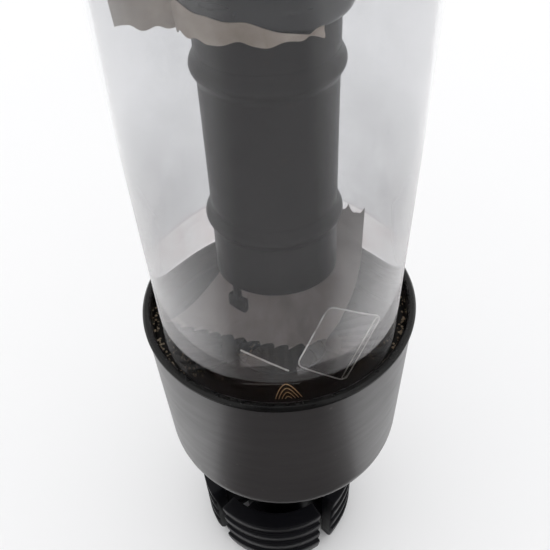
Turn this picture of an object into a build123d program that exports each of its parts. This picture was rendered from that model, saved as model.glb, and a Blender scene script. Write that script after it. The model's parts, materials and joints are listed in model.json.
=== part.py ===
"""Protein skimmer for a small marine aquarium: a clear column that stands in a dark collar.

Millimetres, +Z up. The origin is on the tube's axis, on the face that the split spigot stands on.
The front of the skimmer faces -Y and the air supply is at the back, +Y.

Air goes in at the hose tail, through the needle valve and down the air tube to the wooden
diffuser. Its bubbles lift water up the riser. Foam climbs the neck into the cup, and the
cleaned water leaves by the windows in the head and by the spigot's slots.
"""
from build123d import *
import os

# ---- driving dimensions ---------------------------------------------------------------------
TUBE_OD = 50.0                 # clear acrylic tube
TUBE_WALL = 1.0
TUBE_LENGTH = 190.0
LIP_Z = 91.0                   # top of the base collar's lip, above the standing face
COLLAR_HEIGHT = 46.0
LIP_OD = 57.3
LIP_ID = 53.8
COLLAR_FOOT_R = 27.8           # the collar tapers a little towards its foot
COLLAR_CORNER_R = 9.0
SPIGOT_OD = 42.8               # over the barbs
SPIGOT_WALL = 4.2
SPIGOT_LEG_HEIGHT = 23.2
SPIGOT_LEGS = 4
SPIGOT_SLOT_WIDTH = 4.4
SPIGOT_TURN = -7.0             # the legs are turned a little from the front
SPIGOT_OFFSET = -2.5           # and stand a little to the left of the tube's axis
BARB_PITCH = 5.5
RISER_OD = 22.2
RISER_WALL = 1.4
RISER_FOOT_Z = LIP_Z + 13.5
RISER_TAB_HEIGHT = 6.0
RISER_TOP_Z = 240.0
BAND_PITCH = 27.0
AIR_TUBE_OD = 5.0
AIR_TUBE_BORE = 3.0
AIR_TUBE_Y = 15.6              # the air tube runs behind the riser
CUP_OD = 72.0
CUP_WALL = 2.0
CUP_HEIGHT = 52.0
NECK_OD = 29.8
NECK_WALL = 1.7

RUNNING = 0.06                 # radial clearance of a piece that turns or pulls off
SEATED = 0.3                   # gap between pieces that part when the skimmer is taken down

# ---- worked out from them -------------------------------------------------------------------
TUBE_R = TUBE_OD / 2
TUBE_IN_R = TUBE_R - TUBE_WALL
COLLAR_FOOT_Z = LIP_Z - COLLAR_HEIGHT
COLLAR_FLOOR = 3.0
COLLAR_CAVITY_R = TUBE_IN_R - 0.4
TUBE_FOOT_Z = COLLAR_FOOT_Z + 24.0
TUBE_TOP_Z = TUBE_FOOT_Z + TUBE_LENGTH
GROOVE_FLOOR_Z = LIP_Z - 9.0
RISER_R = RISER_OD / 2
RISER_IN_R = RISER_R - RISER_WALL
NECK_R = NECK_OD / 2
AIR_TUBE_R = AIR_TUBE_OD / 2
SPIGOT_R = SPIGOT_OD / 2
SPIGOT_NECK_R = 12.5
SPIGOT_NECK_BORE_R = 10.0
STRAINER_TOP_Z = LIP_Z - 10.0
STRAINER_THICKNESS = 3.0
COUPLING_FOOT_Z = LIP_Z + 61.0
COUPLING_LENGTH = 20.0
COUPLING_MID_Z = COUPLING_FOOT_Z + COUPLING_LENGTH / 2
HEAD_OD = 57.2
HEAD_DRUM_R = 26.5
HEAD_FOOT_Z = TUBE_TOP_Z - 12.0
HEAD_SHOULDER_Z = TUBE_TOP_Z + 10.0
WINDOW_FOOT_Z = HEAD_SHOULDER_Z + 3.0
WINDOW_HEIGHT = 9.0
WINDOW_WIDTH = 15.0
WINDOWS = 4
RING_TOP_Z = HEAD_SHOULDER_Z + 15.0
HEAD_TOP_Z = RING_TOP_Z + 5.0
HEAD_DECK = 4.0
CUP_FLOOR_Z = HEAD_TOP_Z + SEATED
CUP_TOP_Z = CUP_FLOOR_Z + CUP_HEIGHT
AIR_PORT_Z = TUBE_TOP_Z + 5.0
AIR_TUBE_TOP_Z = AIR_PORT_Z - 2.5
AIR_TUBE_FOOT_Z = COLLAR_FOOT_Z + 15.0
AIR_BORE_R = 1.3
HOSE_TAIL_R = 2.2
HOSE_TAIL_LENGTH = 11.0
VALVE_FACE_Y = HEAD_OD / 2 + 0.5
VALVE_Y = 37.0
VALVE_END_Y = 44.0
STEM_R = 1.5
DRAIN_Z = CUP_FLOOR_Z + 8.0
DRAIN_R = 4.2


# ---- small helpers --------------------------------------------------------------------------
def disc(radius, z_low, z_high, x=0.0, y=0.0):
    """An upright cylinder between two heights."""
    return Pos(x, y, (z_low + z_high) / 2) * Cylinder(radius, z_high - z_low)


def ring(r_outer, r_inner, z_low, z_high, x=0.0, y=0.0):
    """An upright tube between two heights."""
    return disc(r_outer, z_low, z_high, x, y) - disc(r_inner, z_low - 1, z_high + 1, x, y)


def block(size_x, size_y, z_low, z_high, x=0.0, y=0.0):
    """An upright box between two heights."""
    return Pos(x, y, (z_low + z_high) / 2) * Box(size_x, size_y, z_high - z_low)


def rod_y(radius, y_low, y_high, z, x=0.0):
    """A cylinder that lies along Y."""
    return Pos(x, (y_low + y_high) / 2, z) * Rot(90, 0, 0) * Cylinder(radius, y_high - y_low)


def rod_x(radius, x_low, x_high, z, y=0.0):
    """A cylinder that lies along X."""
    return Pos((x_low + x_high) / 2, y, z) * Rot(0, 90, 0) * Cylinder(radius, x_high - x_low)


def turned(profile):
    """A closed profile of (radius, height) points, turned about the tube's axis."""
    points = [(r, 0, z) for r, z in profile]
    return revolve(make_face(Polyline(*points, close=True)), Axis.Z)


def around(count, shape, first=0.0):
    """Copies of a shape at even angles about the tube's axis."""
    return [Rot(0, 0, first + 360 * i / count) * shape for i in range(count)]


def flat_sheet(corners, thickness):
    """A flat sheet with the given corners, which lie in one plane, and a thickness."""
    return extrude(make_face(Polyline(*corners, close=True)), amount=thickness / 2, both=True)


# ---- base: collar, split spigot and seals ---------------------------------------------------
def base_collar():
    """The dark cup that the tube stands in, with a bevelled lip and a rounded foot."""
    lip_r = LIP_OD / 2
    outer = turned([(0, COLLAR_FOOT_Z), (COLLAR_FOOT_R, COLLAR_FOOT_Z),
                    (lip_r - 0.35, LIP_Z - 1.6), (lip_r, LIP_Z - 1.1),
                    (lip_r, LIP_Z - 0.5), (lip_r - 0.5, LIP_Z), (0, LIP_Z)])
    foot_edge = outer.edges().filter_by(GeomType.CIRCLE).group_by(Axis.Z)[0]
    outer = fillet(foot_edge, COLLAR_CORNER_R)
    inside = turned([(0, COLLAR_FOOT_Z + COLLAR_FLOOR), (COLLAR_CAVITY_R, COLLAR_FOOT_Z + COLLAR_FLOOR),
                     (COLLAR_CAVITY_R, TUBE_FOOT_Z), (TUBE_R + RUNNING, TUBE_FOOT_Z),
                     (TUBE_R + RUNNING, GROOVE_FLOOR_Z), (LIP_ID / 2, GROOVE_FLOOR_Z),
                     (LIP_ID / 2, LIP_Z - 0.5), (LIP_ID / 2 + 0.5, LIP_Z), (0, LIP_Z)])
    return outer - inside - disc(SPIGOT_NECK_R, COLLAR_FOOT_Z - 1, COLLAR_FOOT_Z + COLLAR_FLOOR + 1)


def tube_gasket():
    """Rubber ring at the bottom of the groove between lip and tube."""
    return ring(LIP_ID / 2, TUBE_R + RUNNING, GROOVE_FLOOR_Z, GROOVE_FLOOR_Z + 4.5)


def barb_profile():
    """Half section of the spigot's legs: saw-teeth with a narrow land on each crest."""
    tooth_depth = 0.8
    crest_land = 1.2
    lead_in = 1.2
    root_r = SPIGOT_R - tooth_depth
    teeth = int((SPIGOT_LEG_HEIGHT - lead_in) / BARB_PITCH)
    profile = [(SPIGOT_R - SPIGOT_WALL, 0.0), (root_r - 0.8, 0.0), (root_r, lead_in)]
    for tooth in range(teeth):
        crest_z = lead_in + (tooth + 1) * BARB_PITCH
        profile += [(SPIGOT_R, crest_z - crest_land), (SPIGOT_R, crest_z)]
        if tooth < teeth - 1:
            profile += [(root_r, crest_z)]
    return profile + [(SPIGOT_R - SPIGOT_WALL, SPIGOT_LEG_HEIGHT)]


def split_spigot():
    """Barbed push-in spigot: four sprung legs on a web round a neck with a clamping flange."""
    neck_top = COLLAR_FOOT_Z + 9.0
    flange_top = COLLAR_FOOT_Z - 1.0
    flange_r = SPIGOT_NECK_R + 3
    web_low = 7.0
    web_high = 10.5
    slot_reach = 13.5
    slot_end = SPIGOT_R + 15.0
    slot = block(slot_end - slot_reach, SPIGOT_SLOT_WIDTH, -1, SPIGOT_LEG_HEIGHT + 1,
                 x=(slot_end + slot_reach) / 2)
    legs = turned(barb_profile()) + disc(SPIGOT_R - SPIGOT_WALL, web_low, web_high)
    for cutter in around(SPIGOT_LEGS, slot, first=45 + SPIGOT_TURN):
        legs -= cutter
    legs = Pos(SPIGOT_OFFSET, 0, 0) * legs
    neck = disc(SPIGOT_NECK_R, 0, neck_top)
    flange = disc(flange_r, flange_top - 2.5, flange_top)
    return legs + neck + flange - disc(SPIGOT_NECK_BORE_R, -1, neck_top + 1)


def spigot_seal():
    """Flat rubber washer between the spigot's flange and the collar."""
    return ring(SPIGOT_NECK_R + 3, SPIGOT_NECK_R, COLLAR_FOOT_Z - 1.0, COLLAR_FOOT_Z)


def spigot_lock_nut():
    """Ring nut inside the collar that clamps the spigot, with grip notches round it."""
    foot = COLLAR_FOOT_Z + COLLAR_FLOOR
    nut = ring(SPIGOT_NECK_R + 4.5, SPIGOT_NECK_R, foot, foot + 4.5)
    notch = block(2.4, 3.0, foot - 1, foot + 6, x=SPIGOT_NECK_R + 4.9)
    for cutter in around(8, notch):
        nut -= cutter
    return nut


# ---- column: tube, riser and air line -------------------------------------------------------
def body_tube():
    """The clear acrylic tube."""
    return ring(TUBE_R, TUBE_IN_R, TUBE_FOOT_Z, TUBE_TOP_Z)


def liner_sleeve():
    """Thin frosted sheet rolled inside the tube, open along its seam at the back right."""
    foot = LIP_Z + 12.4
    top = RISER_TOP_Z - 12.0
    sleeve = ring(TUBE_IN_R, TUBE_IN_R - 0.35, foot, top)
    seam = block(6, 0.9, foot - 1, top + 1, x=TUBE_IN_R)
    return sleeve - Rot(0, 0, 45) * seam


def strainer_disc():
    """Slotted disc across the tube's foot, open in the middle for the bubbles."""
    low = STRAINER_TOP_Z - STRAINER_THICKNESS
    plate = ring(TUBE_IN_R, 9.0, low, STRAINER_TOP_Z)
    slot = block(8.5, 1.1, low - 1, STRAINER_TOP_Z + 1, x=16.0)
    back = 90.0
    for index in range(40):
        angle = 360 * index / 40
        if abs(angle - back) > 20:
            plate -= Rot(0, 0, angle) * slot
    return plate - disc(AIR_TUBE_R, low - 1, STRAINER_TOP_Z + 1, y=AIR_TUBE_Y)


def diffuser_holder():
    """Socket under the wooden diffuser, with an arm to the air tube."""
    foot = COLLAR_FOOT_Z + 12.0
    cup = ring(9.0, 7.5, foot, foot + 7) + disc(9.0, foot, foot + 3)
    arm = block(7.0, AIR_TUBE_Y, foot, foot + 6, y=AIR_TUBE_Y / 2)
    boss = disc(AIR_TUBE_R + 1.6, foot, foot + 9, y=AIR_TUBE_Y)
    body = cup + (arm - disc(7.5, foot + 3, foot + 8)) + boss
    body -= disc(AIR_TUBE_R, foot + 3, foot + 10, y=AIR_TUBE_Y)
    gallery = rod_y(1.2, 0, AIR_TUBE_Y, foot + 1.6)
    drop = disc(1.2, foot + 1.6, foot + 3.5, y=AIR_TUBE_Y)
    rise = disc(1.2, foot + 1.6, foot + 3.5)
    return body - gallery - drop - rise


def limewood_diffuser():
    """Round block of limewood that breaks the air into fine bubbles."""
    foot = COLLAR_FOOT_Z + 15.0
    return chamfer(disc(7.5, foot, foot + 15).edges().group_by(Axis.Z)[-1], 0.6)


def air_tube():
    """Rigid tube that takes air down behind the riser."""
    return ring(AIR_TUBE_R, AIR_TUBE_BORE / 2, AIR_TUBE_FOOT_Z, AIR_TUBE_TOP_Z, y=AIR_TUBE_Y)


def lower_riser_pipe():
    """Lower length of the dark riser, with two small tabs under its foot."""
    pipe = ring(RISER_R, RISER_IN_R, RISER_FOOT_Z, COUPLING_MID_Z - 1)
    tab_foot_z = RISER_FOOT_Z - RISER_TAB_HEIGHT
    tab = block(RISER_WALL + 2, 4.0, tab_foot_z, RISER_FOOT_Z, x=RISER_R)
    tab_ring = ring(RISER_R, RISER_IN_R, tab_foot_z, RISER_FOOT_Z)
    for lug in around(2, tab, first=-135):
        pipe += lug & tab_ring
    return pipe


def upper_riser_pipe():
    """Upper length of the riser, up to the head."""
    return ring(RISER_R, RISER_IN_R, COUPLING_MID_Z + 1, RISER_TOP_Z)


def riser_coupling():
    """Gloss sleeve that joins the two lengths, with a stop ring inside."""
    low = COUPLING_FOOT_Z
    high = COUPLING_FOOT_Z + COUPLING_LENGTH
    sleeve_r = RISER_R + 1.2
    bead_r = RISER_R + 1.8
    return turned([(RISER_R, low), (sleeve_r, low), (bead_r, low + 0.7), (bead_r, low + 2.6),
                   (sleeve_r, low + 3.4), (sleeve_r, high - 3.4), (bead_r, high - 2.6),
                   (bead_r, high - 0.7), (sleeve_r, high), (RISER_R, high),
                   (RISER_R, COUPLING_MID_Z + 1), (RISER_IN_R, COUPLING_MID_Z + 1),
                   (RISER_IN_R, COUPLING_MID_Z - 1), (RISER_R, COUPLING_MID_Z - 1)])


def air_tube_clip(mid_z):
    """Band round the riser with an eye at the back for the air tube."""
    half = 1.7
    crown = 0.75
    band = turned([(RISER_R, mid_z - half), (RISER_R + 0.35, mid_z - half),
                   (RISER_R + crown, mid_z - half + 0.7), (RISER_R + crown, mid_z + half - 0.7),
                   (RISER_R + 0.35, mid_z + half), (RISER_R, mid_z + half)])
    eye = disc(AIR_TUBE_R + 1.1, mid_z - half, mid_z + half, y=AIR_TUBE_Y)
    web = block(4.0, 3.0, mid_z - half, mid_z + half, y=RISER_R + 1.2)
    eye += web
    eye -= disc(RISER_R, mid_z - half - 1, mid_z + half + 1)
    return band + eye - disc(AIR_TUBE_R, mid_z - half - 1, mid_z + half + 1, y=AIR_TUBE_Y)


def air_tube_clips():
    """The clips, one band pitch apart, two on each length of riser."""
    first = LIP_Z + 26.0
    steps = [0, 1, 3, 4]
    return Compound([air_tube_clip(first + step * BAND_PITCH) for step in steps])


def riser_spider():
    """Three-armed holder that centres the riser's top end in the tube."""
    low = RISER_TOP_Z - 9.0
    high = RISER_TOP_Z - 2.0
    hub_r = RISER_R + 1.8
    arm = block(TUBE_IN_R - RISER_R - 1, 2.4, low, high, x=(TUBE_IN_R + RISER_R) / 2)
    rim = ring(TUBE_IN_R, TUBE_IN_R - 1.6, low, high)
    spider = ring(hub_r, RISER_R, low, high) + rim
    for spoke in around(3, arm, first=30):
        spider += spoke
    return spider - disc(AIR_TUBE_R, low - 1, high + 1, y=AIR_TUBE_Y)


def lower_tape():
    """Strip of thin brown tape across the tube, under the riser's foot; it climbs at the back."""
    width = 26.0
    slant = 63.0
    side_shift = 3.9
    sag = LIP_Z - 5.0
    upper = [(-11.0, LIP_Z - 2.0), (-4.0, sag), (8.0, sag), (16.0, LIP_Z - 2.0), (18.5, LIP_Z + 13.0)]
    lower = [(t + 0.15, z - 0.35) for t, z in reversed(upper)]
    side = side_shift + width / 2
    outline = [(t, side, z) for t, z in upper + lower]
    strip = extrude(make_face(Polyline(*outline, close=True)), amount=width, dir=(0, -1, 0))
    strip = Rot(0, 0, slant) * strip
    strip &= disc(TUBE_IN_R - 0.7, LIP_Z - 10, LIP_Z + 20)
    return strip - disc(AIR_TUBE_R + 0.4, LIP_Z - 10, LIP_Z + 20, y=AIR_TUBE_Y)


def upper_tape():
    """Strip of the same tape round the front of the coupling, with a free end on the left."""
    low = COUPLING_FOOT_Z - 3.0
    high = COUPLING_FOOT_Z + 4.0
    inner_r = RISER_R + 1.85
    wrap = ring(inner_r + 0.3, inner_r, low, high) - block(40, 40, low - 1, high + 1, y=22.0)
    flag = block(9.0, 0.3, low, high - 2.0, x=-inner_r - 4.6, y=0.5)
    return wrap + flag


def clear_clip():
    """Folded clear sheet that leans on the tube's front wall: a square leaf, a fold and a wing."""
    thickness = 0.8
    hinge = Vector(3.6, -19.9, LIP_Z + 1.4)
    leaf_rise = Vector(6.1, 6.5, 9.6)
    leaf_run = Vector(9.2, 2.1, -7.2)
    joint = Vector(3.9, -20.9, LIP_Z - 1.6)
    wing_run = Vector(-12.2, 1.7, 8.0)
    wing_drop = Vector(-0.1, -0.35, -4.1)
    leaf = flat_sheet([hinge, hinge + leaf_rise, hinge + leaf_rise + leaf_run, hinge + leaf_run], thickness)
    fold_tip = joint + wing_run * 0.1 + wing_drop * 0.5
    fold = flat_sheet([hinge, hinge + leaf_run, fold_tip], thickness)
    wing = flat_sheet([joint, joint + wing_run, joint + wing_run + wing_drop * 2.5, joint + wing_drop],
                      thickness)
    return leaf + fold + wing


# ---- head: collar, gate ring, air inlet -----------------------------------------------------
def window_cutters(first=0.0):
    """Boxes that cut the outlet windows through a ring."""
    cutter = block(14, WINDOW_WIDTH, WINDOW_FOOT_Z, WINDOW_FOOT_Z + WINDOW_HEIGHT, x=27.0)
    return around(WINDOWS, cutter, first)


def head_collar():
    """Dark collar bonded to the tube's top, with outlet windows and a deck round the neck."""
    outer_r = HEAD_OD / 2
    deck_z = HEAD_TOP_Z - HEAD_DECK
    neck_bore_r = NECK_R + RUNNING
    seal_seat_r = NECK_R + 2.1
    collar = turned([(TUBE_R, HEAD_FOOT_Z), (outer_r - 0.6, HEAD_FOOT_Z), (outer_r, HEAD_FOOT_Z + 0.6),
                     (outer_r, HEAD_SHOULDER_Z), (HEAD_DRUM_R, HEAD_SHOULDER_Z),
                     (HEAD_DRUM_R, HEAD_TOP_Z), (seal_seat_r, HEAD_TOP_Z),
                     (seal_seat_r, HEAD_TOP_Z - 2), (neck_bore_r, HEAD_TOP_Z - 2),
                     (neck_bore_r, deck_z), (TUBE_IN_R, deck_z - 3),
                     (TUBE_IN_R, TUBE_TOP_Z), (TUBE_R, TUBE_TOP_Z)])
    for cutter in window_cutters():
        collar -= cutter
    return collar - rod_y(AIR_TUBE_R, TUBE_IN_R - 2, outer_r + 1, AIR_PORT_Z)


def outlet_ring():
    """Gate ring that turns round the head and opens or covers the windows."""
    play = 0.1
    low = HEAD_SHOULDER_Z + play
    high = RING_TOP_Z - play
    gate = ring(HEAD_OD / 2, HEAD_DRUM_R + RUNNING, low, high)
    for cutter in window_cutters():
        gate -= cutter
    groove = disc(0.7, low - 1, high + 1, x=HEAD_OD / 2 + 0.2)
    for index in range(36):
        angle = 10 * index + 5
        if 20 < angle % 90 < 70:
            gate -= Rot(0, 0, angle) * groove
    return gate


def ring_retainer():
    """Ring bonded round the head's top that keeps the gate ring on and carries the cup."""
    return ring(HEAD_OD / 2, HEAD_DRUM_R, RING_TOP_Z, HEAD_TOP_Z)


def neck_seal():
    """Rubber ring in the deck that seals round the foam neck."""
    return ring(NECK_R + 2.1, NECK_R + RUNNING, HEAD_TOP_Z - 2, HEAD_TOP_Z)


def air_elbow():
    """Elbow that brings air in through the head's wall and down to the air tube."""
    low = AIR_TUBE_TOP_Z - 8
    sleeve = disc(AIR_TUBE_R + 1.6, low, AIR_PORT_Z + 3.5, y=AIR_TUBE_Y)
    body = sleeve + rod_y(AIR_TUBE_R, AIR_TUBE_Y, VALVE_FACE_Y + 4, AIR_PORT_Z)
    body -= disc(AIR_TUBE_R, low - 1, AIR_TUBE_TOP_Z, y=AIR_TUBE_Y)
    body -= disc(AIR_BORE_R, low, AIR_PORT_Z, y=AIR_TUBE_Y)
    return body - rod_y(AIR_BORE_R, AIR_TUBE_Y, VALVE_FACE_Y + 5, AIR_PORT_Z)


def air_valve_body():
    """Body of the needle valve, pushed over the elbow's end."""
    boss_top = AIR_PORT_Z + 9
    body = rod_y(5.5, VALVE_FACE_Y, VALVE_END_Y, AIR_PORT_Z) + disc(3.8, AIR_PORT_Z, boss_top, y=VALVE_Y)
    body -= rod_y(AIR_TUBE_R, VALVE_FACE_Y - 1, VALVE_FACE_Y + 4, AIR_PORT_Z)
    body -= rod_y(AIR_BORE_R, VALVE_FACE_Y, VALVE_END_Y, AIR_PORT_Z)
    body -= rod_y(HOSE_TAIL_R, VALVE_END_Y - 4, VALVE_END_Y + 1, AIR_PORT_Z)
    return body - disc(STEM_R + RUNNING, AIR_PORT_Z, boss_top + 1, y=VALVE_Y)


def air_valve_knob():
    """Fluted knob on its needle stem."""
    low = AIR_PORT_Z + 9.4
    knob = disc(5.2, low, low + 8, y=VALVE_Y)
    knob = chamfer(knob.edges().filter_by(GeomType.CIRCLE).group_by(Axis.Z)[-1], 0.6)
    flute = disc(0.9, low - 1, low + 9, x=5.5)
    for cutter in around(10, flute):
        knob -= Pos(0, VALVE_Y, 0) * cutter
    pointer = block(0.9, 4.2, low + 7.4, low + 9, y=VALVE_Y + 2.4)
    return knob - pointer + disc(STEM_R, AIR_PORT_Z + 1.6, low + 1, y=VALVE_Y)


def hose_tail():
    """Straight nozzle that an air hose pushes on to."""
    flange_end = VALVE_END_Y + 1.5
    tail = rod_y(HOSE_TAIL_R, VALVE_END_Y - 4, flange_end + HOSE_TAIL_LENGTH, AIR_PORT_Z)
    tail += rod_y(3.6, VALVE_END_Y, flange_end, AIR_PORT_Z)
    return tail - rod_y(AIR_BORE_R, VALVE_END_Y - 5, flange_end + HOSE_TAIL_LENGTH + 1, AIR_PORT_Z)


# ---- cup: neck, cup, drain and lid ----------------------------------------------------------
def foam_neck():
    """Clear tube that the foam climbs, bonded through the cup's floor."""
    return ring(NECK_R, NECK_R - NECK_WALL, HEAD_TOP_Z - 10, CUP_FLOOR_Z + 34)


def collection_cup():
    """Clear cup that catches the foam which spills over the neck."""
    outer = disc(CUP_OD / 2, CUP_FLOOR_Z, CUP_TOP_Z)
    outer = fillet(outer.edges().filter_by(GeomType.CIRCLE).group_by(Axis.Z)[0], 2.0)
    cup = outer - disc(CUP_OD / 2 - CUP_WALL, CUP_FLOOR_Z + 3, CUP_TOP_Z + 1)
    cup -= disc(NECK_R, CUP_FLOOR_Z - 1, CUP_FLOOR_Z + 4)
    return cup - rod_x(DRAIN_R, -CUP_OD / 2 - 1, -CUP_OD / 2 + 4, DRAIN_Z)


def drain_nozzle():
    """Nozzle near the cup's floor that it is emptied by."""
    inner_x = -CUP_OD / 2 + 3
    outer_x = -CUP_OD / 2 - 14
    nozzle = rod_x(DRAIN_R, outer_x, inner_x, DRAIN_Z)
    nozzle += rod_x(DRAIN_R + 2, -CUP_OD / 2 - 2.0, -CUP_OD / 2 - 0.2, DRAIN_Z)
    return nozzle - rod_x(DRAIN_R - 1.8, outer_x - 1, inner_x + 1, DRAIN_Z)


def drain_cap():
    """Soft cap that closes the drain nozzle."""
    open_x = -CUP_OD / 2 - 4
    socket_end = -CUP_OD / 2 - 14 - SEATED
    cap = rod_x(DRAIN_R + 1.8, socket_end - 2, open_x, DRAIN_Z)
    cap += rod_x(DRAIN_R + 2.6, open_x - 1.5, open_x, DRAIN_Z)
    return cap - rod_x(DRAIN_R + RUNNING, socket_end, open_x + 1, DRAIN_Z)


def cup_lid():
    """Dark lift-off lid with a skirt outside the cup and vent holes."""
    plate_z = CUP_TOP_Z + SEATED
    skirt_r = CUP_OD / 2 + SEATED
    lid = turned([(0, plate_z), (skirt_r, plate_z), (skirt_r, CUP_TOP_Z - 6), (skirt_r + 1.8, CUP_TOP_Z - 6),
                  (skirt_r + 1.8, plate_z + 1.8), (skirt_r + 0.8, plate_z + 2.8), (0, plate_z + 2.8)])
    lid += ring(CUP_OD / 2 - CUP_WALL - SEATED, CUP_OD / 2 - CUP_WALL - 1.8, CUP_TOP_Z - 3, plate_z)
    vent = disc(1.8, plate_z - 1, plate_z + 4, x=22.0)
    for cutter in around(4, vent, first=45):
        lid -= cutter
    return lid


def lid_knob():
    """Turned knob bonded on the lid."""
    low = CUP_TOP_Z + SEATED + 2.8
    return turned([(0, low), (6.5, low), (5.0, low + 2.5), (5.0, low + 4), (8.6, low + 6.5),
                   (9.0, low + 8), (8.2, low + 10), (6.0, low + 10.8), (0, low + 10.8)])


NODES = [base_collar, tube_gasket, split_spigot, spigot_seal, spigot_lock_nut,
         body_tube, liner_sleeve, strainer_disc, diffuser_holder, limewood_diffuser, air_tube,
         air_tube_clips, lower_riser_pipe, riser_coupling, upper_riser_pipe, riser_spider,
         lower_tape, upper_tape, clear_clip,
         head_collar, outlet_ring, ring_retainer, neck_seal,
         air_elbow, air_valve_body, air_valve_knob, hose_tail,
         foam_neck, collection_cup, drain_nozzle, drain_cap, cup_lid, lid_knob]

os.makedirs("parts", exist_ok=True)
for make in NODES:
    export_step(make(), f"parts/{make.__name__}.step")
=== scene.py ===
"""Looks of the protein skimmer: a clear column in a dark collar, on a white sweep.

Metres, +Z up, in the CAD model's frame. Every place comes from the CAD nodes' boxes.
"""
import json
import math
import random

import bpy
import bmesh
from mathutils import Matrix, Vector, noise

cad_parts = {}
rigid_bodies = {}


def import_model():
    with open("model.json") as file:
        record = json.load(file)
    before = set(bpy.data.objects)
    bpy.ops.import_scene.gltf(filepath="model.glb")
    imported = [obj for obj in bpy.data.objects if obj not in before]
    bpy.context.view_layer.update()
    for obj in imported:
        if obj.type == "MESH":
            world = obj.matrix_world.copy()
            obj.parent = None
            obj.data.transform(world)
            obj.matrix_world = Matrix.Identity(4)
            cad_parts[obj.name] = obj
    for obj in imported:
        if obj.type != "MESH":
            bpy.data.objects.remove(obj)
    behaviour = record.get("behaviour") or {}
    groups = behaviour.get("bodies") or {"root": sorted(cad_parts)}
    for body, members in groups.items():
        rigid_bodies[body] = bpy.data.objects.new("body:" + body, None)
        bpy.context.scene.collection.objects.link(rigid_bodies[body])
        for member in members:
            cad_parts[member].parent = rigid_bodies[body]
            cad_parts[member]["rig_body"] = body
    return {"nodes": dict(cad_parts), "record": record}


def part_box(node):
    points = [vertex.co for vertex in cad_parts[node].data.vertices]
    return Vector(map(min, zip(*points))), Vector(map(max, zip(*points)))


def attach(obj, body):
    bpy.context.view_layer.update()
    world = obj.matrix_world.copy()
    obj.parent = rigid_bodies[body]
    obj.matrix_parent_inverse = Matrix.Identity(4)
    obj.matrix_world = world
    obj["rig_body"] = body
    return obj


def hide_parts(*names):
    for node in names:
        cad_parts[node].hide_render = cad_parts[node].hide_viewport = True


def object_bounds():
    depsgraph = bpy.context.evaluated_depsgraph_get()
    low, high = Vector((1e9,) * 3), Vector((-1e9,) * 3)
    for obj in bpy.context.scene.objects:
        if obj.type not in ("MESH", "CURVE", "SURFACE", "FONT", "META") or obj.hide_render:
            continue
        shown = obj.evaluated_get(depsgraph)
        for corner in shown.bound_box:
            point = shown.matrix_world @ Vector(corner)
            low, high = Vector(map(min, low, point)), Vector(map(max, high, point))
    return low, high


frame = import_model()
CAD_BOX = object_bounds()
NODES = frame["nodes"]
MM = 0.001
SLOT_OF = {entry["node"]: entry["material_slot"] for entry in frame["record"]["subparts"]}

# ---- places read from the frame --------------------------------------------------------------
COLLAR_LOW, COLLAR_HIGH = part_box("base_collar")
TUBE_LOW, TUBE_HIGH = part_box("body_tube")
LINER_LOW, LINER_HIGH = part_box("liner_sleeve")
STRAINER_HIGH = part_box("strainer_disc")[1]
RISER_LOW, RISER_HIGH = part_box("lower_riser_pipe")
UPPER_RISER_LOW, UPPER_RISER_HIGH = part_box("upper_riser_pipe")
COUPLING_LOW, COUPLING_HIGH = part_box("riser_coupling")
GASKET_LOW, GASKET_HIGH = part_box("tube_gasket")
SPIGOT_LOW, SPIGOT_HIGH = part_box("split_spigot")
AIR_TUBE_LOW, AIR_TUBE_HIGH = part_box("air_tube")
AIR_TUBE_Y = (AIR_TUBE_LOW.y + AIR_TUBE_HIGH.y) / 2
CLIPS_LOW, CLIPS_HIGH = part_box("air_tube_clips")
BAND_PITCH = (CLIPS_HIGH.z - CLIPS_LOW.z - 3.4 * MM) / 4
BAND_HEIGHTS = [CLIPS_LOW.z + 1.7 * MM + step * BAND_PITCH for step in (0, 1, 3, 4)]
NECK_LOW, NECK_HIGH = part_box("foam_neck")
LID_KNOB_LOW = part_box("lid_knob")[0]
LIP_Z = COLLAR_HIGH.z
LIP_R = COLLAR_HIGH.x
TUBE_R = TUBE_HIGH.x
TUBE_WALL = 1.0 * MM
GROOVE_R = 26.9 * MM           # inside of the collar's lip
SEAT_R = 25.06 * MM            # the collar's seat, a close fit round the tube's foot
RISER_R = RISER_HIGH.x
RISER_WALL = 1.4 * MM
SPIGOT_R = (SPIGOT_HIGH.x - SPIGOT_LOW.x) / 2
LEGS_X = (SPIGOT_HIGH.x + SPIGOT_LOW.x) / 2
LEGS_TURN = -7.0               # degrees that the spigot's legs are turned about their axis
# foot, full height and top of the painted sheen, a milky veil painted on the tube's sides above the lip
SHEEN_FOOT = LIP_Z + 2.6 * MM
SHEEN_FULL = LIP_Z + 18 * MM    # the painted sheen starts to thin out here
SHEEN_TOP = LIP_Z + 45 * MM
TAPE_THICKNESS = 0.14 * MM
NECK_WALL = 1.7 * MM
CRUMBS = 170
CRUMB_SPOTS = (-162.0, -148.0, -135.0, -42.0, -30.0, -18.0, 175.0, -5.0)
SEGMENTS = 192


# ---- mesh helpers ----------------------------------------------------------------------------
def piece_from(name, shape, materials, body, replaces=None, bevel=0.0, sharp=40.0, indices=None):
    """A mesh object from (verts, faces) with smooth faces and sharp creases, riding on a body."""
    mesh = bpy.data.meshes.new(name)
    mesh.from_pydata([tuple(v) for v in shape[0]], [], shape[1])
    piece = bpy.data.objects.new(name, mesh)
    bpy.context.scene.collection.objects.link(piece)
    for material in materials:
        mesh.materials.append(material)
    if indices:
        mesh.polygons.foreach_set("material_index", indices)
    finish_mesh(mesh, bevel, sharp)
    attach(piece, body)
    if replaces:
        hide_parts(replaces)
    return piece


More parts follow.
